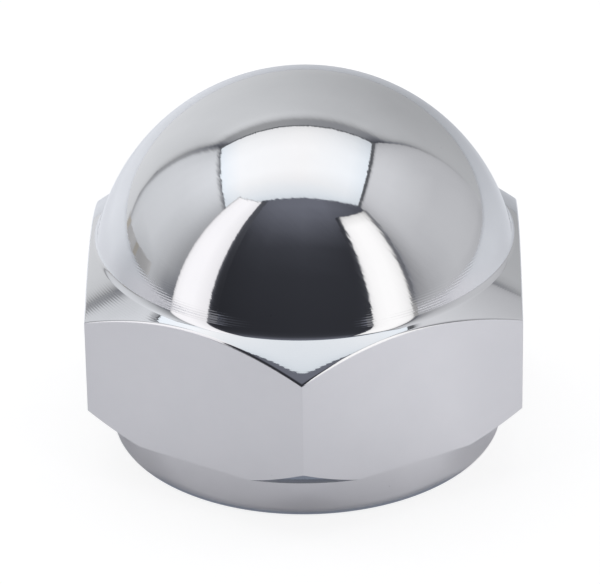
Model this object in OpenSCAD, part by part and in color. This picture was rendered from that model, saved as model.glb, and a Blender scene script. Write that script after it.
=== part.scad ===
// Domed cap nut with a turned collar.
//
// One solid, turned and milled from hexagon bar: a ball-shaped dome, a small cove, a sloping
// shoulder that the six flats cut into arches, chamfered lower corners, and a round collar
// with the mouth of a blind tapped hole in its seat.
//
// Millimetres. The origin is the centre of the collar's seat face and +Z runs up through the
// top of the dome. Two corners of the hexagon lie on the Y axis.

/* [Hexagon] */
// Distance across the flats, which is the spanner size
across_flats = 24; // [22:0.1:26]
// Height of a flat at its middle, from the collar to the shoulder
flat_h = 8.35; // [7.5:0.05:9.5]
// Slope of the turned shoulder above the flats, in degrees from level
shoulder_slope = 37; // [30:1:42]
// How far the turned chamfer cuts in at each lower corner
corner_cut = 1.35; // [0.4:0.05:1.8]
// Slope of the lower corner chamfer, in degrees from level
corner_slope = 45; // [30:1:60]

/* [Dome] */
// Height of the whole nut, from the seat to the top of the dome
overall_h = 20.8; // [20:0.1:23]
// Diameter of the ball that the dome is part of
dome_d = 23.85; // [23:0.05:25]
// Radius of the cove where the dome meets the shoulder
cove_r = 0.7; // [0.3:0.1:1.5]

/* [Collar] */
// Diameter of the round collar under the hexagon
collar_d = 22; // [19:0.1:22]
// Height of the collar, from the seat to the hexagon
collar_h = 3.1; // [1.5:0.1:4]
// Radius on the collar's outer lower edge
collar_edge_r = 0.35; // [0.1:0.05:0.8]

/* [Tapped hole] */
// Bore inside the thread crests, as drilled for an M16 thread
tap_d = 14; // [10:0.1:15]
// Depth of the full bore from the seat, without the drill point
bore_depth = 13; // [8:0.1:14]
// Diameter of the countersunk mouth at the seat
mouth_d = 17; // [15.2:0.1:18]
// Full angle of the countersink, in degrees
mouth_angle = 120; // [90:5:120]
// Full angle of the drill point at the bottom of the bore, in degrees
drill_angle = 118; // [90:1:140]

/* [Hidden] */

// Facets of a full circle
$fn = 180;
// How far a cutting shape runs past the face that it cuts
overrun = 1;

// Hexagon
flat_r = across_flats / 2;
corner_r = flat_r / cos(30);
// Level at which the shoulder meets the middle of a flat
shoulder_z = collar_h + flat_h;

// Dome
dome_r = dome_d / 2;
dome_z = overall_h - dome_r;
dome_centre = [0, dome_z];

// Cove: its centre is cove_r outside the ball and cove_r above the shoulder line
shoulder_normal = [sin(shoulder_slope), cos(shoulder_slope)];
shoulder_along = [cos(shoulder_slope), -sin(shoulder_slope)];
// Distance from the ball's centre to the shoulder line
shoulder_offset = ([flat_r, shoulder_z] - dome_centre) * shoulder_normal;
cove_offset = shoulder_offset + cove_r;
cove_reach = sqrt(pow(dome_r + cove_r, 2) - pow(cove_offset, 2));
cove_centre = dome_centre + cove_offset * shoulder_normal + cove_reach * shoulder_along;
cove_foot = cove_centre - cove_r * shoulder_normal;

// Collar and hole
collar_r = collar_d / 2;
tap_r = tap_d / 2;
mouth_r = mouth_d / 2;

// Height of the shoulder line at a given radius
function shoulder_at(r) = shoulder_z - (r - flat_r) * tan(shoulder_slope);

// Height of the lower corner chamfer at a given radius
function corner_chamfer_at(r) = collar_h + (r - corner_r + corner_cut) * tan(corner_slope);

// Section of the hexagon's turned body, from the collar up to the cove
module body_section() {
    bar_r = corner_r + overrun;
    difference() {
        polygon([
            [0, collar_h],
            [corner_r - corner_cut, collar_h],
            [bar_r, corner_chamfer_at(bar_r)],
            [bar_r, shoulder_at(bar_r)],
            cove_foot,
            cove_centre,
            dome_centre,
        ]);
        translate(cove_centre) circle(cove_r);
    }
}

// Section of the dome above the ball's centre
module dome_section() {
    intersection() {
        translate(dome_centre) circle(dome_r);
        translate(dome_centre) square([dome_d, dome_d]);
    }
}

// Section of the collar, with its lower edge rounded
module collar_section() {
    square([collar_r - collar_edge_r, collar_h]);
    translate([0, collar_edge_r]) square([collar_r, collar_h - collar_edge_r]);
    translate([collar_r - collar_edge_r, collar_edge_r]) circle(collar_edge_r);
}

// Everything that the lathe shapes, as one round solid
module turned_blank() {
    rotate_extrude() {
        collar_section();
        body_section();
        dome_section();
    }
}

// The hexagon bar, with two corners on the Y axis
module hexagon_bar() {
    rotate(30) cylinder(h = overall_h + overrun, r = corner_r, $fn = 6);
}

// The blind hole: countersunk mouth, tapping bore and drill point
module tapped_hole() {
    mouth_tan = tan(mouth_angle / 2);
    drill_tan = tan(drill_angle / 2);
    rotate_extrude() polygon([
        [0, -overrun],
        [mouth_r + overrun * mouth_tan, -overrun],
        [tap_r, (mouth_r - tap_r) / mouth_tan],
        [tap_r, bore_depth],
        [0, bore_depth + tap_r / drill_tan],
    ]);
}

module cap_nut() {
    color("gainsboro") difference() {
        intersection() {
            turned_blank();
            hexagon_bar();
        }
        tapped_hole();
    }
}

cap_nut();
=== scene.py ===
import math

import bmesh
import bpy
from mathutils import Matrix, Vector


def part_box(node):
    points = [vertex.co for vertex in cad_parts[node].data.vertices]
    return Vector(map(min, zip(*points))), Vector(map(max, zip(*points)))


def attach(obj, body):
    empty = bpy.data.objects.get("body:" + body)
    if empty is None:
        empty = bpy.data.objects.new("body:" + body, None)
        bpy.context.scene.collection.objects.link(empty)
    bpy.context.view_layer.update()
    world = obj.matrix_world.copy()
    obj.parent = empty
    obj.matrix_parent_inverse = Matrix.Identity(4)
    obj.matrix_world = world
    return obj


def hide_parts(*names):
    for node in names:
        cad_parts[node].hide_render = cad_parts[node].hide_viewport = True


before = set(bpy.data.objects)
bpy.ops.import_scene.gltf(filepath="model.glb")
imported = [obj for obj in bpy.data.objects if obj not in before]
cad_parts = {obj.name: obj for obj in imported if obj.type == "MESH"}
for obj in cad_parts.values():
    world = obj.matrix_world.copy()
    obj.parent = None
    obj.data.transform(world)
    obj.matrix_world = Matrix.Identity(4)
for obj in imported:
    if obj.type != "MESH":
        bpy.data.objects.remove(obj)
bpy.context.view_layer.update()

MM = 0.001

# The nut, in millimetres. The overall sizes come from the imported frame.
box_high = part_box("cap_nut")[1] / MM
FLAT_R = box_high.x
CORNER_R = FLAT_R / math.cos(math.radians(30))
TOP_Z = box_high.z
FLAT_H = 8.35
SHOULDER_SLOPE = math.radians(37)
# How far the chamfer, which rises at 45 degrees, cuts in at each lower corner
CORNER_CUT = 1.35
DOME_R = 23.85 / 2
COVE_R = 0.7
COLLAR_R = 11.0
COLLAR_H = 3.1
COLLAR_EDGE_R = 0.35
COLLAR_ROOT_R = 0.25
MOUTH_R = 8.5
MOUTH_HALF_ANGLE = math.radians(60)
DRILL_HALF_ANGLE = math.radians(59)
BORE_DEPTH = 13.0
TAP_R = 7.0

# Metric coarse thread of the tapped hole, right-handed
THREAD_PITCH = 2.0
THREAD_ROOT_R = 8.0
THREAD_DEPTH = 11.5
THREAD_ROOT_FLAT = THREAD_PITCH / 8
THREAD_FLANK = math.radians(30)

# The tap that cuts it: its steps to a turn and its steps of run-out, over which it draws in by TAP_DRAW_IN of
# its reach, and how far its foot stands inside the bore
TAP_STEPS = 96
TAP_RUN_OUT = 48
TAP_DRAW_IN = 1.5
TAP_OVERLAP = 0.3

# Polished edges
ARCH_ROUND = 0.11
CORNER_ROUND = 0.04
EDGE_STEPS = 4
SHARP_ANGLE = math.radians(32)

# Fineness of the turned surfaces, in steps of a whole turn and of each arc
TURN_STEPS = 300
DOME_STEPS = 64
COVE_STEPS = 14
COLLAR_EDGE_STEPS = 8
COLLAR_ROOT_STEPS = 5

# Points of the mesh that are closer than this are one
MERGE_DISTANCE = 0.0001

# Kinds of surface, which are also the nut's material slots
TURNED, MILLED, TAPPED, ARCH, UPRIGHT = range(5)

# Derived sizes; the blank is turned BLANK_SPARE wider than the hexagon's corners
BLANK_SPARE = 1.0
SHOULDER_Z = COLLAR_H + FLAT_H
DOME_Z = TOP_Z - DOME_R
BLANK_R = CORNER_R + BLANK_SPARE
DOME_CENTRE = Vector((0, DOME_Z))

# Cove between the dome and the shoulder: its centre is COVE_R off both
SHOULDER_NORMAL = Vector((math.sin(SHOULDER_SLOPE), math.cos(SHOULDER_SLOPE)))
SHOULDER_ALONG = Vector((math.cos(SHOULDER_SLOPE), -math.sin(SHOULDER_SLOPE)))
COVE_OFFSET = (Vector((FLAT_R, SHOULDER_Z)) - DOME_CENTRE).dot(SHOULDER_NORMAL) + COVE_R
COVE_REACH = math.sqrt((DOME_R + COVE_R) ** 2 - COVE_OFFSET ** 2)
COVE_CENTRE = DOME_CENTRE + COVE_OFFSET * SHOULDER_NORMAL + COVE_REACH * SHOULDER_ALONG
COVE_FOOT = COVE_CENTRE - COVE_R * SHOULDER_NORMAL
DOME_ANGLE = math.atan2(COVE_CENTRE.x, COVE_CENTRE.y - DOME_Z)
DOME_FOOT_Z = DOME_Z + DOME_R * math.cos(DOME_ANGLE)


# ---------------------------------------------------------------- camera

CAMERA_PLACE = Vector((4.641, -229.229, 138.461)) * MM
CAMERA_AZIMUTH = 0.021590
CAMERA_ELEVATION = 0.517485
CAMERA_ROLL = -0.016636
CAMERA_LENS = 282.03
SENSOR_WIDTH = 36.0
CAMERA_CLIP = (0.01, 20.0)


def heading(azimuth, elevation):
    """Unit vector towards an azimuth and elevation in radians: azimuth 0 is -Y, and a quarter turn is +X."""
    return Vector((
        math.sin(azimuth) * math.cos(elevation),
        -math.cos(azimuth) * math.cos(elevation),
        math.sin(elevation),
    ))


def make_camera():
    data = bpy.data.cameras.new("camera")
    data.lens = CAMERA_LENS
    data.sensor_width = SENSOR_WIDTH
    data.clip_start, data.clip_end = CAMERA_CLIP
    camera = bpy.data.objects.new("camera", data)
    bpy.context.scene.collection.objects.link(camera)
    back = heading(CAMERA_AZIMUTH, CAMERA_ELEVATION)
    right = Vector((math.cos(CAMERA_AZIMUTH), math.sin(CAMERA_AZIMUTH), 0))
    up = back.cross(right)
    tilt_right = right * math.cos(CAMERA_ROLL) + up * math.sin(CAMERA_ROLL)
    tilt_up = up * math.cos(CAMERA_ROLL) - right * math.sin(CAMERA_ROLL)
    turn = Matrix((tilt_right, tilt_up, back)).transposed()
    camera.matrix_world = Matrix.Translation(CAMERA_PLACE) @ turn.to_4x4()
    bpy.context.scene.camera = camera


# ---------------------------------------------------------------- shader maths

class Value:
    """A socket that can be used in Python arithmetic; each operator adds a Math node."""

    def __init__(self, graph, socket):
        self.graph = graph
        self.socket = socket

    def maths(self, operation, *others):
        return self.graph.node("ShaderNodeMath", {"operation": operation}, [self, *others])

    def __add__(self, other):
        return self.maths("ADD", other)

    __radd__ = __add__

    def __mul__(self, other):
        return self.maths("MULTIPLY", other)

    __rmul__ = __mul__

    def __sub__(self, other):
        return self.maths("SUBTRACT", other)

    def __rsub__(self, other):
        return self.graph.node("ShaderNodeMath", {"operation": "SUBTRACT"}, [other, self])

    def __truediv__(self, other):
        return self.maths("DIVIDE", other)

    def __rtruediv__(self, other):
        return self.graph.node("ShaderNodeMath", {"operation": "DIVIDE"}, [other, self])


class Graph:
    """The node tree of one material or world."""

    def __init__(self, owner):
        owner.use_nodes = True
        self.tree = owner.node_tree
        self.tree.nodes.clear()

    def node(self, kind, settings=None, inputs=None, output=0):
        made = self.tree.nodes.new(kind)
        for name, setting in (settings or {}).items():
            setattr(made, name, setting)
        pairs = inputs.items() if isinstance(inputs, dict) else enumerate(inputs or [])
        for name, value in pairs:
            if isinstance(value, Value):
                self.tree.links.new(value.socket, made.inputs[name])
            else:
                made.inputs[name].default_value = value
        return Value(self, made.outputs[output]) if len(made.outputs) else None

    def mix_colour(self, factor, first, second):
        """first where the factor is 0, and second where it is 1."""
        return self.node("ShaderNodeMix", {"data_type": "RGBA"}, {0: factor, 6: first, 7: second}, output=2)

    def scale_colour(self, colour, factor):
        """A colour made brighter or darker by a value."""
        inputs = {"Vector": colour, "Scale": factor}
        return self.node("ShaderNodeVectorMath", {"operation": "SCALE"}, inputs)

    def ramp(self, value, low, high, start=0.0, end=1.0):
        """value from low to high, eased into start to end."""
        kind = {"interpolation_type": "SMOOTHSTEP"}
        return self.node("ShaderNodeMapRange", kind, {
            "Value": value, "From Min": low, "From Max": high, "To Min": start, "To Max": end,
        })

    def place(self):
        """x, y and z of the shaded point in metres, in the piece's own frame."""
        place = self.node("ShaderNodeTexCoord", output=3)
        parts = self.node("ShaderNodeSeparateXYZ", None, [place]).socket.node
        return [Value(self, socket) for socket in parts.outputs]


# ---------------------------------------------------------------- mesh tools

class Outline:
    """A half section drawn point by point in the XZ plane."""

    def __init__(self, bm, r, z):
        self.bm = bm
        self.tip = bm.verts.new((r, 0, z))

    def line(self, r, z):
        point = self.bm.verts.new((r, 0, z))
        self.bm.edges.new((self.tip, point))
        self.tip = point

    def arc(self, centre, turn, steps):
        """Carries the tip round centre by an angle; a positive turn goes from +Z towards +X."""
        made = bmesh.ops.spin(
            self.bm, geom=[self.tip], cent=(centre[0], 0, centre[1]), axis=(0, 1, 0),
            angle=turn, steps=steps,
        )
        self.tip = next(part for part in made["geom_last"] if isinstance(part, bmesh.types.BMVert))


def finished_object(bm, name):
    """A bmesh as an object at the origin."""
    mesh = bpy.data.meshes.new(name)
    bm.to_mesh(mesh)
    bm.free()
    made = bpy.data.objects.new(name, mesh)
    bpy.context.scene.collection.objects.link(made)
    return made


# ---------------------------------------------------------------- the nut

def shoulder_at(r):
    """Height of the shoulder line at a radius."""
    return SHOULDER_Z - (r - FLAT_R) * math.tan(SHOULDER_SLOPE)


def draw_hole(bm):
    """Half section of the drilled and countersunk hole, from the drill point to the mouth."""
    outline = Outline(bm, 0, BORE_DEPTH + TAP_R / math.tan(DRILL_HALF_ANGLE))
    outline.line(TAP_R, BORE_DEPTH)
    outline.line(TAP_R, (MOUTH_R - TAP_R) / math.tan(MOUTH_HALF_ANGLE))
    outline.line(MOUTH_R, 0)


def draw_outside(bm):
    """Half section of the turned outside, from the mouth of the hole round to the top of the dome."""
    outline = Outline(bm, MOUTH_R, 0)
    outline.line(COLLAR_R - COLLAR_EDGE_R, 0)
    outline.arc((COLLAR_R - COLLAR_EDGE_R, COLLAR_EDGE_R), -math.pi / 2, COLLAR_EDGE_STEPS)
    outline.line(COLLAR_R, COLLAR_H - COLLAR_ROOT_R)
    outline.arc((COLLAR_R + COLLAR_ROOT_R, COLLAR_H - COLLAR_ROOT_R), math.pi / 2, COLLAR_ROOT_STEPS)
    outline.line(CORNER_R - CORNER_CUT, COLLAR_H)
    outline.line(BLANK_R, COLLAR_H + BLANK_R - (CORNER_R - CORNER_CUT))
    outline.line(BLANK_R, shoulder_at(BLANK_R))
    outline.line(*COVE_FOOT)
    outline.arc(COVE_CENTRE, DOME_ANGLE - SHOULDER_SLOPE, COVE_STEPS)
    outline.arc(DOME_CENTRE, -DOME_ANGLE, DOME_STEPS)


def turn_blank(bm):
    """The hole and the outside, each spun from its own half section and joined at the mouth."""
    for draw, kind in ((draw_hole, TAPPED), (draw_outside, TURNED)):
        old_parts = set(bm.verts[:] + bm.edges[:] + bm.faces[:])
        draw(bm)
        section = [part for part in bm.verts[:] + bm.edges[:] if part not in old_parts]
        bmesh.ops.spin(
            bm, geom=section, cent=(0, 0, 0), axis=(0, 0, 1),
            angle=math.tau, steps=TURN_STEPS, use_merge=True,
        )
        for face in bm.faces:
            if face not in old_parts:
                face.material_index = kind
    bmesh.ops.remove_doubles(bm, verts=bm.verts, dist=MERGE_DISTANCE)
    bmesh.ops.recalc_face_normals(bm, faces=bm.faces)


def mill_flats(bm):
    """Cuts the six flats, each in turn, and closes each cut with one face."""
    for number in range(6):
        side = Matrix.Rotation(number * math.pi / 3, 3, "Z") @ Vector((1, 0, 0))
        cut = bmesh.ops.bisect_plane(
            bm, geom=bm.verts[:] + bm.edges[:] + bm.faces[:], dist=MERGE_DISTANCE,
            plane_co=side * FLAT_R, plane_no=side, clear_outer=True,
        )
        rim = [part for part in cut["geom_cut"] if isinstance(part, bmesh.types.BMEdge)]
        made = bmesh.ops.contextual_create(bm, geom=rim)
        for face in made["faces"]:
            face.material_index = MILLED
    bmesh.ops.recalc_face_normals(bm, faces=bm.faces)


def round_edges(bm, offset, kinds, rounded):
    """Rounds the upper edges between two kinds of surface, as polishing does, and marks what it makes."""
    edges = []
    for edge in bm.edges:
        on_top = max(vert.co.z for vert in edge.verts) > SHOULDER_Z - FLAT_H / 2
        if on_top and {face.material_index for face in edge.link_faces} == kinds:
            edges.append(edge)
    made = bmesh.ops.bevel(
        bm, geom=edges, offset=offset, offset_type="OFFSET", segments=EDGE_STEPS,
        profile=0.5, affect="EDGES", clamp_overlap=False, material=-1, loop_slide=True,
    )
    for face in made["faces"]:
        face.material_index = rounded


def make_tap():
    """A helical cutter with the thread's V section, which runs out towards the bore at its inner end."""
    bm = bmesh.new()
    inner_r = TAP_R - TAP_OVERLAP
    half_root = THREAD_ROOT_FLAT / 2
    half_mouth = half_root + (THREAD_ROOT_R - inner_r) * math.tan(THREAD_FLANK)
    start_z = -THREAD_PITCH / 2
    corners = (
        (inner_r, -half_mouth), (THREAD_ROOT_R, -half_root),
        (THREAD_ROOT_R, half_root), (inner_r, half_mouth),
    )
    section = bm.faces.new([bm.verts.new((r, 0, start_z + z)) for r, z in corners])
    steps = round((THREAD_DEPTH - start_z) / THREAD_PITCH * TAP_STEPS)
    lift = THREAD_PITCH / TAP_STEPS
    part = [section, *section.edges, *section.verts]
    for count in [steps] + [1] * TAP_RUN_OUT:
        part = bmesh.ops.spin(
            bm, geom=part, cent=(0, 0, 0), axis=(0, 0, 1), dvec=(0, 0, lift),
            angle=math.tau * count / TAP_STEPS, steps=count,
        )["geom_last"]
        if count == 1:
            for vert in (item for item in part if isinstance(item, bmesh.types.BMVert)):
                r = vert.co.xy.length
                pull = 1 - (r - inner_r) / r * TAP_DRAW_IN / TAP_RUN_OUT
                vert.co.xy *= pull
    bmesh.ops.recalc_face_normals(bm, faces=bm.faces)
    for face in bm.faces:
        face.material_index = TAPPED
    return finished_object(bm, "tap")


def cut_thread(nut):
    """Takes the tap's shape out of the nut; both are in millimetres."""
    tap = make_tap()
    for material in nut.data.materials:
        tap.data.materials.append(material)
    cut = nut.modifiers.new("thread", "BOOLEAN")
    cut.operation = "DIFFERENCE"
    cut.solver = "EXACT"
    cut.object = tap
    ready = nut.evaluated_get(bpy.context.evaluated_depsgraph_get())
    threaded = bpy.data.meshes.new_from_object(ready)
    nut.modifiers.clear()
    nut.data = threaded
    bpy.data.objects.remove(tap)


def settle_normals(bm, mesh):
    """Smooth normals that keep the turned and milled faces true.

    Where a rounded edge ends it takes the normal of the true face beside it, larger faces counting for more.
    The hole keeps its own normals, with sharp edges.
    """
    least = math.cos(SHARP_ANGLE)
    normals = []
    for face in bm.faces:
        rounded = face.material_index in (ARCH, UPRIGHT)
        order = ((MILLED,), (TURNED,), (ARCH, UPRIGHT)) if rounded else ((face.material_index,),)
        for vert in face.verts:
            normal = Vector((0, 0, 0))
            for kinds in order:
                for near in vert.link_faces:
                    alike = near.material_index in kinds and near.material_index != TAPPED
                    if alike and near.normal.dot(face.normal) > least:
                        normal += near.normal * near.calc_area()
                if normal.length > 0:
                    break
            normals.append(normal.normalized())
    mesh.normals_split_custom_set(normals)


def make_nut():
    """Shaped in millimetres, and brought to metres at the end."""
    bm = bmesh.new()
    turn_blank(bm)
    mill_flats(bm)
    round_edges(bm, ARCH_ROUND, {TURNED, MILLED}, ARCH)
    round_edges(bm, CORNER_ROUND, {MILLED}, UPRIGHT)
    nut = finished_object(bm, "cap_nut_polished")
    turned, milled = turned_chrome(), milled_chrome()
    for material in (turned, milled, tapped_chrome(), turned, milled):
        nut.data.materials.append(material)
    cut_thread(nut)
    bm = bmesh.new()
    bm.from_mesh(nut.data)
    bmesh.ops.dissolve_degenerate(bm, dist=MERGE_DISTANCE, edges=bm.edges)
    for face in bm.faces:
        face.smooth = True
    for edge in bm.edges:
        edge.smooth = edge.calc_face_angle(0) < SHARP_ANGLE
    bmesh.ops.scale(bm, vec=(MM,) * 3, verts=bm.verts)
    bm.normal_update()
    bm.to_mesh(nut.data)
    settle_normals(bm, nut.data)
    bm.free()
    return nut


# ---------------------------------------------------------------- finishes

CHROME_COLOUR = (0.604, 0.605, 0.610, 1)
CLOUDY_CHROME = (0.592, 0.594, 0.600, 1)
PIT_COLOUR = (0.30, 0.30, 0.32, 1)
HOLE_BRIGHT = (0.56, 0.55, 0.53, 1)
HOLE_DULL = (0.42, 0.41, 0.40, 1)

# Roughness where a finish is clear and where it is cloudy
TURNED_ROUGHNESS = (0.025, 0.035)
MILLED_ROUGHNESS = (0.045, 0.08)
HOLE_ROUGHNESS = (0.18, 0.32)

# Clouds to a millimetre, and the part of the noise over which clouds and lines change
TURNED_CLOUDS = 0.3
MILLED_CLOUDS = 0.35
HOLE_CLOUDS = 0.8
NOISE_SPAN = (0.3, 0.7)

# Pits: how far apart they may lie, their size and its even middle, how many places have none, and their tone
SPECK_SPACING = 1.6
SPECK_SIZE = 0.05
SPECK_CORE = 0.3 * SPECK_SIZE
SPECK_ABSENT = 0.6
SPECK_TONE = 0.5

# The belt's grain on the flats: patches to a millimetre along it and lines across it, and its depth
GRAIN_ALONG = 0.8
GRAIN_LINES = 9
GRAIN_DEPTH = 0.0002

# Lines that the tap leaves in the hole: how many to a millimetre, and to a radian round it, and their depth
TAP_LINES = 6
TAP_LINES_ROUND = 0.5
TAP_LINE_DEPTH = 0.004

# Rings of the turning tool. Distances are up the dome from its foot, and out from the cove on the shoulder.
FEED_MARK_PITCH = 0.137
FEED_MARK_TILT = math.radians(1.15)
DOME_MARKS_START = 0.1
DOME_MARKS_END = (1.1, 1.7)
SHOULDER_MARKS_START = (0.1, 0.3)
LEFT_MARKS = 0.6
OTHER_MARKS = 0.12
LEFT_MARKS_SPAN = (FLAT_R * -0.87, FLAT_R * -0.5)

# The shoulder's crown: how far it turns in a millimetre, the radius where it adds no slope, and its share in
# the middle and towards the sides
CROWN_CURVE = math.radians(2.4)
CROWN_EDGE_R = 14.7
FRONT_CROWN = 0.12
FRONT_CROWN_SPAN = (FLAT_R * 0.3, FLAT_R * 0.8)

# How buffing rolls the shoulder off towards the flats, with a wider dip at the front corner
ROLL_OFF = 0.003
ROLL_OFF_START = 0.02
FRONT_ROLL_OFF = math.radians(6.3)
FRONT_ROLL_REACH = 0.267
FRONT_ROLL_CENTRE = -0.1
FRONT_ROLL_SPAN = (FLAT_R * 0.07, FLAT_R * 0.5)

# Where the shoulder's relief ends: above and below the dome's foot, and under the shoulder line at the arches
DOME_FOOT_FADE = 0.3
ARCH_FADE = (0.15, 0.3)

# Buffing lines, which are fainter on the shoulder. They lie on a diagonal, along which BUFF_DIAGONAL times
# x - up is about a distance, and change slowly in depth.
BUFF_LINE_PITCH = 0.22
BUFF_LINE_LENGTH = 1.1
BUFF_DIAGONAL = 0.7
BUFF_LINE_AWAY = 0.3
BUFF_LINE_TILT = math.radians(0.5)
BUFF_LEAN = math.radians(30)
SHOULDER_BUFFED_OUT = 0.7


def new_material(name):
    material = bpy.data.materials.new(name)
    return material, Graph(material)


def place_in_mm(graph):
    """x, y and z of the shaded point in millimetres, in the nut's own frame."""
    return [part * (1 / MM) for part in graph.place()]


def from_axis(x, y):
    """Distance from the nut's axis."""
    return (x * x + y * y).maths("SQRT")


def noise(graph, place, scale=1.0):
    """Noise from 0 to 1 over three coordinates."""
    vector = graph.node("ShaderNodeCombineXYZ", None, place)
    inputs = {"Vector": vector, "Scale": scale, "Detail": 3.0, "Roughness": 0.6}
    return graph.node("ShaderNodeTexNoise", None, inputs)


def specks(graph, place):
    """Tiny pits in the plating: 1 in a few of the cells of a coarse pattern, and 0 elsewhere."""
    cells = graph.node("ShaderNodeTexVoronoi", None, {
        "Vector": graph.node("ShaderNodeCombineXYZ", None, place), "Scale": 1 / SPECK_SPACING,
    })
    pick = graph.node("ShaderNodeSeparateXYZ", None, [Value(graph, cells.socket.node.outputs[1])])
    spot = graph.ramp(cells, SPECK_CORE / SPECK_SPACING, SPECK_SIZE / SPECK_SPACING, 1.0, 0.0)
    return spot * pick.maths("GREATER_THAN", SPECK_ABSENT)


def worn_chrome(graph, place, clouds):
    """The colour of chrome with cloudy patches and pits."""
    cloudy = graph.mix_colour(graph.ramp(clouds, *NOISE_SPAN), CHROME_COLOUR, CLOUDY_CHROME)
    return graph.mix_colour(specks(graph, place) * SPECK_TONE, cloudy, PIT_COLOUR)


def metal(graph, colour, roughness, height):
    """Closes a metal's nodes: its colour, its roughness and its relief in metres."""
    bump = graph.node("ShaderNodeBump", None, {"Strength": 1.0, "Distance": 1.0, "Height": height})
    surface = graph.node("ShaderNodeBsdfPrincipled", None, {
        "Base Color": colour, "Metallic": 1.0, "Roughness": roughness, "Normal": bump,
    })
    graph.node("ShaderNodeOutputMaterial", None, [surface])


def feed_marks(graph, x, r, z):
    """Rings that the tool leaves at every turn, strong round the dome's foot and on the shoulder's left."""
    up_dome = (z - DOME_Z).maths("ARCTAN2", r) * DOME_R
    foot = (math.pi / 2 - DOME_ANGLE) * DOME_R
    fading, gone = DOME_MARKS_END
    across_shoulder = r * math.cos(SHOULDER_SLOPE) - z * math.sin(SHOULDER_SLOPE)
    dome_wave = (up_dome * (math.tau / FEED_MARK_PITCH)).maths("SINE")
    shoulder_wave = (across_shoulder * (math.tau / FEED_MARK_PITCH)).maths("SINE")
    above_foot = graph.ramp(up_dome, foot, foot + DOME_MARKS_START)
    dome_share = above_foot * graph.ramp(up_dome, foot + fading, foot + gone, 1.0, 0.0)
    beside = graph.ramp(x, *LEFT_MARKS_SPAN, LEFT_MARKS, OTHER_MARKS)
    faint, full = SHOULDER_MARKS_START
    shoulder_share = graph.ramp(r, COVE_FOOT.x + faint, COVE_FOOT.x + full) * beside
    return dome_wave * dome_share + shoulder_wave * shoulder_share


def crowned_height(graph, x, y, r):
    """Height that buffing leaves on the shoulder, in millimetres.

    The shoulder is a little crowned, flatter by the cove and most of all at the two sides. It rolls off
    towards each flat by the logarithm of the distance from it, with a wider dip at the front corner.
    """
    out = (r - COVE_FOOT.x).maths("MAXIMUM", 0)
    crown = out * (CROWN_EDGE_R - COVE_FOOT.x - out * 0.5) * CROWN_CURVE
    crown_share = graph.ramp(x.maths("ABSOLUTE"), *FRONT_CROWN_SPAN, FRONT_CROWN, 1.0)
    product, dip = 1, 0
    for number in range(3):
        angle = number * math.pi / 3
        reach = (x * math.cos(angle) + y * math.sin(angle)).maths("ABSOLUTE")
        distance = (FLAT_R + ROLL_OFF_START - reach).maths("MAXIMUM", ROLL_OFF_START)
        product = distance * product
        dip = (distance * (-1 / FRONT_ROLL_REACH)).maths("EXPONENT") + dip
    off_centre = (x - FRONT_ROLL_CENTRE).maths("ABSOLUTE")
    front = graph.ramp(off_centre, *FRONT_ROLL_SPAN, FRONT_ROLL_OFF * FRONT_ROLL_REACH, 0.0)
    return crown * crown_share + product.maths("LOGARITHM", math.e) * ROLL_OFF - dip * front


def buffing_lines(graph, x, y, z):
    """Noise drawn out along lines that run down the dome from the left to the right."""
    up = z * math.cos(BUFF_LEAN) + y * math.sin(BUFF_LEAN)
    away = y * math.cos(BUFF_LEAN) - z * math.sin(BUFF_LEAN)
    across = (x + up) * (BUFF_DIAGONAL / BUFF_LINE_PITCH)
    along = (x - up) * (BUFF_DIAGONAL / BUFF_LINE_LENGTH)
    return noise(graph, (across, along, away * BUFF_LINE_AWAY))


def turned_chrome():
    """Dome, shoulder and collar: bright, with the tool's rings, buffing lines and a crowned shoulder."""
    material, graph = new_material("turned_chrome")
    x, y, z = place_in_mm(graph)
    r = from_axis(x, y)
    clouds = noise(graph, (x, y, z), TURNED_CLOUDS)
    mark_height = FEED_MARK_TILT * FEED_MARK_PITCH / math.tau * MM
    line_height = BUFF_LINE_TILT * BUFF_LINE_PITCH * MM
    under_dome = graph.ramp(z, DOME_FOOT_Z - DOME_FOOT_FADE, DOME_FOOT_Z + DOME_FOOT_FADE, 1.0, 0.0)
    below_arch = (r - FLAT_R) * -math.tan(SHOULDER_SLOPE) + SHOULDER_Z - z
    on_shoulder = under_dome * graph.ramp(below_arch, *ARCH_FADE, 1.0, 0.0)
    crown = crowned_height(graph, x, y, r) * on_shoulder * MM
    fine = 1 - on_shoulder * SHOULDER_BUFFED_OUT
    lines = buffing_lines(graph, x, y, z) * fine * line_height
    height = feed_marks(graph, x, r, z) * mark_height + lines + crown
    roughness = graph.ramp(clouds, *NOISE_SPAN, *TURNED_ROUGHNESS)
    metal(graph, worn_chrome(graph, (x, y, z), clouds), roughness, height)
    return material


def milled_chrome():
    """Polished flats: a faint grain from the belt, cloudy patches and a few specks."""
    material, graph = new_material("milled_chrome")
    x, y, z = place_in_mm(graph)
    grain = noise(graph, (x * GRAIN_ALONG, y * GRAIN_ALONG, z * GRAIN_LINES))
    clouds = noise(graph, (x, y, z), MILLED_CLOUDS)
    roughness = graph.ramp(clouds, *NOISE_SPAN, *MILLED_ROUGHNESS)
    metal(graph, worn_chrome(graph, (x, y, z), clouds), roughness, grain * (GRAIN_DEPTH * MM))
    return material


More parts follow.
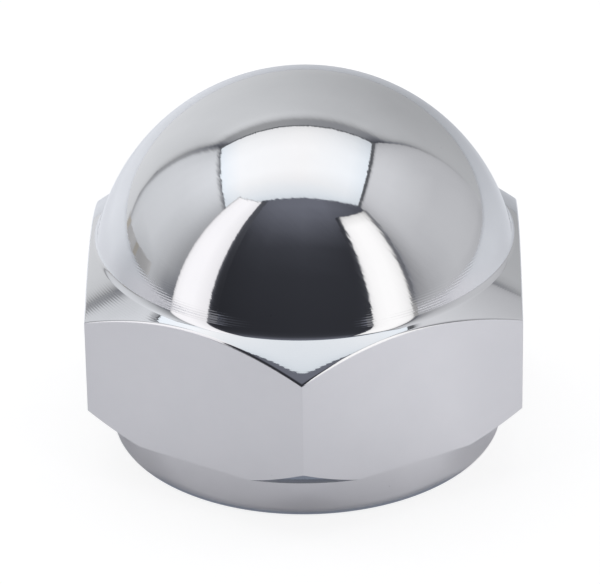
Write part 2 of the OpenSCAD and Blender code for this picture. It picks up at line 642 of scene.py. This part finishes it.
def tapped_chrome():
    """The hole is as cut: the plating hardly reaches it, and the tap leaves lines round it."""
    material, graph = new_material("tapped_chrome")
    x, y, z = place_in_mm(graph)
    r = from_axis(x, y)
    lines = noise(graph, (r * TAP_LINES, z * TAP_LINES, x.maths("ARCTAN2", y) * TAP_LINES_ROUND))
    colour = graph.mix_colour(noise(graph, (x, y, z), HOLE_CLOUDS), HOLE_DULL, HOLE_BRIGHT)
    roughness = graph.ramp(lines, *NOISE_SPAN, *HOLE_ROUGHNESS)
    metal(graph, colour, roughness, lines * (TAP_LINE_DEPTH * MM))
    return material


# ---------------------------------------------------------------- studio, in metres and degrees

TENT_TOP = 1.0

# Upright sheets of the tent: the azimuth that each faces, with 0 on the camera's side, and its distance
FRONT = (-1.7, 0.3185)
RIGHT = (88.4, 0.5656)
BACK = (178.0, 0.532)
LEFT = (-96.5, 0.781)
STRIP_LEFT = (-62, 0.30)
STRIP_RIGHT = (47.5, 0.28)
SILL = (-96.5, 0.76)
PATCH = (-96.5, 0.755)

# Slanting top edges, as (azimuth, elevation) at both ends
STRIP_LEFT_TOP = ((-72.2, 57.3), (-45, 65))
STRIP_RIGHT_TOP = ((36, 57.3), (58.5, 53.8))
SILL_TOP = ((-121, 2.4), (-95, 4.8))

# Tints of the cloth, which turn to slate below DIM_LEVEL
NEUTRAL = (1.0, 0.995, 1.005)
WARM = (1.01, 1.0, 1.0)
BEIGE = (1.06, 1.0, 0.9)
ROSY = (1.0, 0.985, 1.01)
LILAC = (0.99, 0.998, 1.04)
PALE_BLUE = (0.985, 1.0, 1.03)
COOL = (0.98, 1.0, 1.045)
BLUISH = (0.935, 1.0, 1.07)
SLATE = (0.957, 1.0, 1.214)
DIM_LEVEL = 0.5

# The seam between the left and back walls: its azimuth, how far its foot bends and over what height and width
SEAM = -129.5
SEAM_LEAN = 10
SEAM_LEAN_TOP = 0.23
SEAM_LEAN_WIDTH = 14

# The right strip's inner edge: how far it moves out at the foot and in over its height, and where that ends
STRIP_FOOT_LEAN = 0.25
STRIP_LEAN = 0.6
STRIP_LEAN_END = 48
STRIP_LEAN_WIDTH = 8

# The far end of the sill: how far it moves in at the foot and out over its height
SILL_END = -125
SILL_FOOT_LEAN = 2.6
SILL_LEAN = 3.1
SILL_LEAN_WIDTH = 5

# Two patches on the sill: (azimuth, level)
PATCHES = ((-121.5, 0.60), (-107, 0.48))
PATCH_HALF_WIDTH = 1.6

# How far the roof stops short of the right and back walls
ROOF_GAP_RIGHT = 0.021
ROOF_GAP_BACK = 0.01

# The roof's level by its depth, as (share of the way back, level)
ROOF_DEPTHS = (
    (0, 1.12), (0.033, 1.19), (0.068, 1.26), (0.138, 1.33), (0.254, 1.45), (0.371, 1.55), (0.66, 1.57),
    (0.86, 1.47), (0.955, 1.37), (1, 1.3),
)
# Across the roof from the left: (share of the way, factor at the front, factor at the back, coolness)
ROOF_WIDTHS = (
    (0, 0.95, 0.95, 1), (0.18, 1.03, 0.99, 0.2), (0.58, 1.0, 0.96, 0), (0.88, 1.02, 0.82, 0.5),
    (1, 0.93, 0.74, 1),
)
# The roof is cooler over this share of its depth
ROOF_COOL_DEPTH = 0.25

COVER_SIZE = (2.4, 2.4, 1.2)
COVER_MIDDLE_Z = 0.57
COVER_COLOUR = (0.97, 1, 1.08, 1)
COVER_GLOW = 0.17

# Painted light and shade on the floor as the nut shows it: (azimuth, beside the nut, further out). What is
# past FLOOR_WHITE comes from a painted glow.
FLOOR_PAINTED_LIGHT = (
    (-180, 0.50, 0.77), (-167, 0.84, 1.00), (-150, 1.00, 1.14), (-135, 1.08, 1.24), (-120, 1.09, 1.19),
    (-105, 0.99, 0.92), (-90, 0.94, 0.98), (-75, 0.90, 0.90), (-63, 1.00, 1.22), (-51.5, 1.03, 1.17),
    (-49, 1.03, 0.20), (-31, 1.00, 0.10), (-24, 0.98, 0.06), (0, 0.97, 0.05), (19, 1.02, 0.06),
    (30, 1.07, 0.14), (34, 1.10, 0.20), (36, 1.12, 1.25), (50, 1.20, 1.29), (62, 1.10, 1.14),
    (75, 1.00, 1.08), (90, 0.95, 1.13), (119, 0.98, 1.09), (135, 0.97, 0.97), (150, 0.90, 0.82),
    (165, 0.68, 0.66), (180, 0.50, 0.77),
)
FLOOR_SPREAD = (0.032, 0.075)
FLOOR_WHITE = 0.88
FLOOR_FRONT_TINT = (1.009, 1.0, 1.036, 1)
FLOOR_BACK_TINT = (0.98, 1.0, 1.035, 1)
FLOOR_TINT_SPAN = (-0.01, 0.04)

# The floor's width and depth, how far it reaches in front of the nut, how far it lies under the seat, and
# where painted shade dims it
FLOOR_SIZE = (2.0, 1.0)
FLOOR_FRONT = 0.31
FLOOR_DROP = 0.00001
FLOOR_EDGE = (0.25, 0.5)
FLOOR_EDGE_PAINTED_SHADE = 0.88

# As the camera sees it, the floor is white but for the nut's soft shadow
FLOOR_SEEN_COLOUR = (0.22, 0.22, 0.22, 1)
FLOOR_SEEN_GLOW = 0.84

# In front, right against the collar, the floor has painted shade and a painted bluish glow
FOOT = (0.0109, 0.0119)
FOOT_SIDES = (0.0075, 0.0098)
FOOT_PAINTED_SHADE = 0.7
FOOT_PAINTED_GLOW = (0.17, 0.20, 0.255, 1)

# Light from all round, and white where the camera sees past the floor
WORLD_LEVEL = 0.9


def lit(level, tint):
    """A level and a tint as one colour; cloth that is dimly lit looks bluer."""
    colour = Vector(SLATE).lerp(Vector(tint), min(1, level / DIM_LEVEL)) * level
    return colour.to_4d()


def lit_cloth():
    """Glows with the colour and level stored at each corner of a sheet."""
    material, graph = new_material("lit_cloth")
    glow = graph.node("ShaderNodeAttribute", {"attribute_name": "glow"}, output=0)
    cloth = graph.node("ShaderNodeEmission", None, {"Color": glow, "Strength": 1.0})
    graph.node("ShaderNodeOutputMaterial", None, [cloth])
    return material


def stage_hidden(piece):
    """Keeps a piece of the studio out of the camera's sight, so that it shows in reflections only."""
    piece.visible_camera = False


def tent_sheet(name, rows, material):
    """A sheet of lit cloth: rows of (place, glow), each row drawn out from the last."""
    bm = bmesh.new()
    glow = bm.verts.layers.float_color.new("glow")
    line = [bm.verts.new(place) for place, colour in rows[0]]
    edges = [bm.edges.new(pair) for pair in zip(line, line[1:])]
    for number, row in enumerate(rows):
        if number > 0:
            drawn = bmesh.ops.extrude_edge_only(bm, edges=edges)["geom"]
            new_verts = {part for part in drawn if isinstance(part, bmesh.types.BMVert)}
            line = [
                next(edge.other_vert(vert) for edge in vert.link_edges if edge.other_vert(vert) in new_verts)
                for vert in line
            ]
            edges = [bm.edges.get(pair) for pair in zip(line, line[1:])]
        for vert, (place, colour) in zip(line, row):
            vert.co = place
            vert[glow] = colour
    sheet = finished_object(bm, name)
    sheet.data.materials.append(material)
    stage_hidden(sheet)


def tent_point(wall, azimuth, height):
    """A point on an upright wall, seen from the nut at an azimuth in degrees."""
    facing, distance = wall
    reach = distance / math.cos(math.radians(azimuth - facing))
    angle = math.radians(azimuth)
    return (reach * math.sin(angle), -reach * math.cos(angle), height)


def level_at(elevation, rises, levels):
    """Reads off a level between the elevations at which levels are given; one level alone holds at all."""
    for low, high, start, end in zip(rises, rises[1:], levels, levels[1:]):
        if elevation < high:
            return start + (end - start) * max(0, (elevation - low) / (high - low))
    return levels[-1]


def tent_wall(name, wall, rises, stops, rows, tint, material, top=None, lean=None):
    """An upright wall.

    rises: elevations in degrees, as seen from the nut, at which the stops give levels.
    stops: (azimuth, a level for each rise, or one for all).
    rows: (height, shade), from the foot up.
    top: gives the wall's height at an azimuth, and the rows are then shares of it.
    lean: gives how far the stops move round at an azimuth and a height.
    """
    sheet_rows = []
    for height, shade in rows:
        row = []
        for azimuth, *levels in stops:
            turned = azimuth + (lean(azimuth, height) if lean else 0)
            place = Vector(tent_point(wall, turned, height * (top(azimuth) if top else 1)))
            elevation = math.degrees(math.atan2(place.z - DOME_Z * MM, place.xy.length))
            row.append((place, lit(level_at(elevation, rises, levels) * shade, tint)))
        sheet_rows.append(row)
    tent_sheet(name, sheet_rows, material)


def unshaded(*heights):
    """Rows of a wall that have no shade of their own."""
    return [(height, 1) for height in heights]


def slanting_top(wall, left, right):
    """Height of a slanted top edge given as (azimuth, elevation) at both ends."""
    facing, distance = wall

    def height(azimuth):
        share = (azimuth - left[0]) / (right[0] - left[0])
        elevation = math.radians(left[1] + (right[1] - left[1]) * share)
        return distance / math.cos(math.radians(azimuth - facing)) * math.tan(elevation) + DOME_Z * MM
    return height


def seam_lean(azimuth, height):
    """The seam between the left and back walls bends forward at its foot."""
    off = abs((azimuth - SEAM + 180) % 360 - 180)
    return SEAM_LEAN * max(0, 1 - height / SEAM_LEAN_TOP) ** 2 * max(0, 1 - off / SEAM_LEAN_WIDTH)


def strip_lean(azimuth, share):
    """The right strip's inner edge leans in towards its top."""
    beside = min(1, max(0, (STRIP_LEAN_END - azimuth) / STRIP_LEAN_WIDTH))
    return (STRIP_FOOT_LEAN - STRIP_LEAN * share) * beside


def sill_lean(azimuth, share):
    """The far end of the sill is cut on a slant."""
    beside = max(0, 1 - abs(azimuth - SILL_END) / SILL_LEAN_WIDTH)
    return (SILL_FOOT_LEAN - share * SILL_LEAN) * beside


def tent_corner(first, second):
    """Where two walls of the tent meet at its top."""
    (a, p), (b, q) = first, second
    n = Vector((math.sin(math.radians(a)), -math.cos(math.radians(a))))
    m = Vector((math.sin(math.radians(b)), -math.cos(math.radians(b))))
    across = n.x * m.y - n.y * m.x
    return Vector(((p * m.y - q * n.y) / across, (q * n.x - p * m.x) / across, TENT_TOP))


def make_roof(material):
    """The roof, which stops a little short of the right and back walls."""
    right = (RIGHT[0], RIGHT[1] - ROOF_GAP_RIGHT)
    back = (BACK[0], BACK[1] - ROOF_GAP_BACK)
    front_ends = (tent_corner(FRONT, LEFT), tent_corner(FRONT, right))
    back_ends = (tent_corner(back, LEFT), tent_corner(back, right))
    rows = []
    for depth, level in ROOF_DEPTHS:
        left_end = front_ends[0].lerp(back_ends[0], depth)
        right_end = front_ends[1].lerp(back_ends[1], depth)
        row = []
        for across, at_front, at_back, cool in ROOF_WIDTHS:
            tint = Vector(NEUTRAL).lerp(Vector(BLUISH), max(1 - depth / ROOF_COOL_DEPTH, cool))
            glow = lit(level * (at_front + (at_back - at_front) * depth ** 2), tint)
            row.append((left_end.lerp(right_end, across), glow))
        rows.append(row)
    tent_sheet("tent_roof", rows, material)


def make_left_wall(cloth):
    """Bright cloth that darkens towards the camera's side and in the seam at the back."""
    rows = unshaded(-0.002, 0.05, 0.1, 0.17, 0.3, 0.46, 0.62, 0.76, 0.88)
    tent_wall("tent_left", LEFT, (3, 12, 30, 46), [
        (-129.5, 0.60, 0.46, 0.49, 0.20), (-127.9, 0.64, 0.56, 0.54, 0.33), (-127, 0.68, 0.76, 0.85, 0.50),
        (-126, 0.74, 0.90, 0.97, 0.72), (-124.8, 0.82, 0.96, 1.01, 0.90), (-118, 0.91, 0.98, 1.05, 1.06),
        (-110, 0.82, 0.97, 1.05, 1.14), (-100, 0.70, 0.95, 1.02, 1.17), (-90, 0.71, 0.81, 0.91, 1.09),
        (-85, 0.57, 0.72, 0.84, 1.02), (-80, 0.38, 0.58, 0.73, 0.90), (-75, 0.30, 0.46, 0.59, 0.76),
        (-71, 0.25, 0.42, 0.55, 0.64),
    ], rows + [(0.925, 0.97), (0.955, 0.62), (0.985, 0.36)], COOL, cloth, lean=seam_lean)


def make_right_wall(cloth):
    """Grey cloth that brightens away from the right strip, and darkens again in the seam at the back."""
    rows = unshaded(-0.002, 0.02, 0.05, 0.15, 0.33, 0.5, 0.68, 0.8, 0.93)
    tent_wall("tent_right", RIGHT, (1, 5, 30, 50), [
        (58, 0.45, 0.20, 0.22, 0.60), (60.5, 0.58, 0.24, 0.31, 0.64), (62, 0.64, 0.34, 0.43, 0.70),
        (64, 0.66, 0.42, 0.56, 0.77), (67, 0.69, 0.48, 0.67, 0.86), (71, 0.72, 0.58, 0.78, 0.92),
        (75, 0.74, 0.65, 0.82, 0.96), (82, 0.78, 0.75, 0.82, 1.00), (92, 0.78, 0.82, 0.84, 1.03),
        (105, 0.74, 0.83, 0.82, 1.03), (118, 0.70, 0.80, 0.78, 0.95), (126, 0.66, 0.75, 0.76, 0.84),
        (130, 0.68, 0.70, 0.73, 0.70), (131.4, 0.72, 0.68, 0.66, 0.62), (132, 0.72, 0.67, 0.50, 0.45),
    ], rows + [(0.955, 0.88), (0.975, 0.55), (0.985, 0.3)], LILAC, cloth)


def make_back_wall(cloth):
    """Cloth that brightens from the right wall to the left one, dark in both seams and under the roof."""
    rows = unshaded(-0.002, 0.04, 0.12, 0.24, 0.31, 0.4, 0.5)
    tent_wall("tent_back", BACK, (4, 24, 40, 52), [
        (132, 0.70, 0.52, 0.28, 0.20), (132.8, 0.70, 0.62, 0.30, 0.20), (134, 0.69, 0.67, 0.55, 0.27),
        (136, 0.68, 0.68, 0.70, 0.42), (139, 0.67, 0.67, 0.74, 0.62), (147, 0.62, 0.64, 0.75, 0.76),
        (155, 0.57, 0.62, 0.75, 0.75), (165, 0.55, 0.67, 0.77, 0.77), (172, 0.60, 0.70, 0.79, 0.80),
        (180, 0.69, 0.76, 0.83, 0.84), (190, 0.83, 0.84, 0.88, 0.89), (200, 0.95, 0.92, 0.94, 0.93),
        (212, 1.02, 0.99, 0.97, 0.96), (220, 1.01, 0.98, 0.95, 0.94), (226, 0.99, 0.94, 0.83, 0.80),
        (228, 0.98, 0.83, 0.63, 0.58), (229.5, 0.95, 0.64, 0.38, 0.36), (230.5, 0.62, 0.50, 0.25, 0.24),
    ], rows + [
        (0.6, 1.02), (0.68, 1.06), (0.73, 1.0), (0.765, 0.88), (0.795, 0.75), (0.82, 0.6), (0.85, 0.53),
        (0.985, 0.52),
    ], PALE_BLUE, cloth, lean=seam_lean)


def make_front_wall(cloth):
    """The dark front behind the camera, with a pale edge along its foot at both sides."""
    tent_wall("tent_front", FRONT, (0.2, 0.8, 2, 3, 30, 45, 65), [
        (-53, 0.06, 0.31, 0.31, 0.036, 0.042, 0.060, 0.19),
        (-45, 0.06, 0.26, 0.24, 0.036, 0.044, 0.062, 0.21),
        (-39, 0.06, 0.10, 0.07, 0.038, 0.047, 0.068, 0.22),
        (-27, 0.05, 0.045, 0.045, 0.042, 0.052, 0.075, 0.23),
        (0, 0.05, 0.048, 0.048, 0.047, 0.055, 0.080, 0.24),
        (25, 0.05, 0.05, 0.048, 0.047, 0.053, 0.064, 0.24),
        (29, 0.08, 0.12, 0.08, 0.05, 0.05, 0.060, 0.23),
        (33, 0.12, 0.35, 0.35, 0.06, 0.05, 0.060, 0.22),
        (60, 0.12, 0.35, 0.35, 0.06, 0.05, 0.060, 0.20),
    ], unshaded(
        -0.002, 0.0101, 0.0135, 0.0202, 0.0258, 0.031, 0.038, 0.048, 0.1, 0.19, 0.26, 0.33, 0.45, 0.6, 0.78,
        TENT_TOP,
    ), SLATE, cloth)


def make_strips(cloth):
    """Two bright upright strips beside the dark front, each with a dark edge."""
    rows = [(-0.05, 0.88), (0.015, 0.88)] + unshaded(0.03, 0.042, 0.055, 0.077, 0.15, 0.33, 0.6, 0.8)
    tent_wall("strip_left", STRIP_LEFT, (2, 3, 30, 58), [
        (-72.2, 0.6, 0.6, 0.6, 0.45), (-71.9, 0.95, 0.95, 0.95, 0.8), (-71.4, 1.25, 1.25, 1.25, 1.15),
        (-70.4, 1.48, 1.48, 1.48, 1.45), (-67, 1.57), (-60, 1.57), (-53.5, 1.42), (-51.2, 1.36), (-50.6, 1.2),
        (-50.1, 0.4, 0.2, 0.26, 0.24), (-49.3, 0.34, 0.08, 0.1, 0.15), (-48.2, 0.32, 0.05, 0.06, 0.13),
        (-46.5, 0.3, 0.04, 0.05, 0.13), (-45, 0.28, 0.04, 0.05, 0.13),
    ], rows + [(0.97, 1), (0.982, 0.85), (0.99, 0.35), (1, 0.3)], ROSY, cloth,
        top=slanting_top(STRIP_LEFT, *STRIP_LEFT_TOP))
    tent_wall("strip_right", STRIP_RIGHT, (3, 5, 35, 50), [
        (32, 0.3, 0.05, 0.06, 0.06), (33.5, 0.32, 0.06, 0.08, 0.08), (34.6, 0.32, 0.06, 0.13, 0.12),
        (35.2, 0.4, 0.13, 0.3, 0.3), (35.6, 1.2), (36.6, 1.42), (38.6, 1.53), (44, 1.6), (50, 1.59),
        (54, 1.5), (55.7, 1.42), (57, 1.28, 1.28, 1.28, 1.25), (57.7, 0.85), (58.2, 0.62, 0.44, 0.42, 0.5),
        (58.9, 0.55, 0.25, 0.22, 0.36), (60.5, 0.52, 0.23, 0.19, 0.34),
    ], rows + [(0.86, 0.92), (0.95, 0.8), (1, 0.6)], WARM, cloth,
        top=slanting_top(STRIP_RIGHT, *STRIP_RIGHT_TOP), lean=strip_lean)


def make_sill(cloth):
    """A low pale sill along the foot of the left wall, with two beige patches on it."""
    tent_wall("sill", SILL, (0, 4), [
        (-125, 0.80, 0.75), (-121, 0.60, 0.62), (-112, 0.62, 0.68), (-106, 0.53, 0.50), (-100, 0.50, 0.53),
        (-95, 0.53, 0.58), (-92, 0.66, 0.70),
    ], [(-0.15, 1.1)] + unshaded(0, 1), NEUTRAL, cloth, top=slanting_top(SILL, *SILL_TOP), lean=sill_lean)
    for middle, level in PATCHES:
        tent_wall("sill_patch", PATCH, (0,), [
            (middle - PATCH_HALF_WIDTH, level), (middle + PATCH_HALF_WIDTH, level),
        ], unshaded(-0.005, 0.5, 1), BEIGE, cloth, top=slanting_top(SILL, *SILL_TOP))


def make_tent():
    cloth = lit_cloth()
    for make in (
        make_roof, make_left_wall, make_right_wall, make_back_wall, make_front_wall, make_strips, make_sill,
    ):
        make(cloth)


def make_cover():
    """The dark outside of the tent, which shows through its seams."""
    bm = bmesh.new()
    bmesh.ops.create_cube(bm, size=1.0)
    bmesh.ops.scale(bm, vec=COVER_SIZE, verts=bm.verts)
    bmesh.ops.translate(bm, vec=(0, 0, COVER_MIDDLE_Z), verts=bm.verts)
    lowest = min(bm.faces, key=lambda face: face.calc_center_median().z)
    bmesh.ops.delete(bm, geom=[lowest], context="FACES_ONLY")
    cover = finished_object(bm, "tent_cover")
    material, graph = new_material("tent_cover")
    cloth = graph.node("ShaderNodeEmission", None, {"Color": COVER_COLOUR, "Strength": COVER_GLOW})
    graph.node("ShaderNodeOutputMaterial", None, [cloth])
    cover.data.materials.append(material)
    stage_hidden(cover)


def painted_light_ramp(graph, turn, column):
    """The floor's painted light and shade by azimuth, from one column of its table."""
    tone = graph.node("ShaderNodeValToRGB", None, [turn])
    elements = tone.socket.node.color_ramp.elements
    for azimuth, *tones in FLOOR_PAINTED_LIGHT[1:-1]:
        elements.new(azimuth / 360 + 0.5)
    for element, (azimuth, *tones) in zip(elements, FLOOR_PAINTED_LIGHT):
        element.position = azimuth / 360 + 0.5
        element.color = (tones[column],) * 3 + (1,)
    return tone


def floor_with_painted_light(graph):
    """The floor as the nut shows it: painted light and shade by azimuth and distance, cooler at the back."""
    x, y = graph.place()[:2]
    turn = x.maths("ARCTAN2", y * -1) / math.tau + 0.5
    r = from_axis(x, y)
    near_tone, far_tone = painted_light_ramp(graph, turn, 0), painted_light_ramp(graph, turn, 1)
    spread = near_tone + (far_tone - near_tone) * graph.ramp(r, *FLOOR_SPREAD)
    # Painted shade and a painted glow on the floor against the front of the collar
    foot = graph.ramp(r, *FOOT, 1.0, 0.0) * graph.ramp(x.maths("ABSOLUTE"), *FOOT_SIDES, 1.0, 0.0)
    tone = spread * graph.ramp(r, *FLOOR_EDGE, 1.0, FLOOR_EDGE_PAINTED_SHADE) * (1 - foot * FOOT_PAINTED_SHADE)
    tint = graph.mix_colour(graph.ramp(y, *FLOOR_TINT_SPAN), FLOOR_FRONT_TINT, FLOOR_BACK_TINT)
    # Up to FLOOR_WHITE the painted tone is the floor's diffuse colour; what is past it is painted light, a
    # glow
    colour = graph.scale_colour(tint, tone.maths("MINIMUM", FLOOR_WHITE))
    spare = graph.scale_colour(tint, tone.maths("MAXIMUM", FLOOR_WHITE) - FLOOR_WHITE)
    glow = graph.mix_colour(foot, spare, FOOT_PAINTED_GLOW)
    return graph.node("ShaderNodeAddShader", None, [
        graph.node("ShaderNodeBsdfDiffuse", None, {"Color": colour}),
        graph.node("ShaderNodeEmission", None, {"Color": glow, "Strength": 1.0}),
    ])


def make_floor():
    bm = bmesh.new()
    bmesh.ops.create_grid(bm, x_segments=1, y_segments=1, size=0.5)
    bmesh.ops.scale(bm, vec=(*FLOOR_SIZE, 1), verts=bm.verts)
    bmesh.ops.translate(bm, vec=(0, FLOOR_SIZE[1] / 2 - FLOOR_FRONT, -FLOOR_DROP), verts=bm.verts)
    floor = finished_object(bm, "floor")
    material, graph = new_material("floor")
    seen = graph.node("ShaderNodeAddShader", None, [
        graph.node("ShaderNodeBsdfDiffuse", None, {"Color": FLOOR_SEEN_COLOUR}),
        graph.node("ShaderNodeEmission", None, {"Strength": FLOOR_SEEN_GLOW}),
    ])
    is_camera = graph.node("ShaderNodeLightPath", output=0)
    top = graph.node("ShaderNodeMixShader", None, [is_camera, floor_with_painted_light(graph), seen])
    from_below = graph.node("ShaderNodeNewGeometry", output=6)
    see_through = graph.node("ShaderNodeBsdfTransparent")
    surface = graph.node("ShaderNodeMixShader", None, [from_below, top, see_through])
    graph.node("ShaderNodeOutputMaterial", None, [surface])
    floor.data.materials.append(material)


def make_world():
    world = bpy.data.worlds.new("studio")
    bpy.context.scene.world = world
    graph = Graph(world)
    is_camera = graph.node("ShaderNodeLightPath", output=0)
    level = is_camera * (1 - WORLD_LEVEL) + WORLD_LEVEL
    light = graph.node("ShaderNodeBackground", None, {"Color": (1, 1, 1, 1), "Strength": level})
    graph.node("ShaderNodeOutputWorld", None, [light])


bpy.context.scene.view_settings.view_transform = "Standard"
make_camera()
make_world()
make_floor()
make_cover()
make_tent()
nut = make_nut()
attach(nut, "root")
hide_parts("cap_nut")
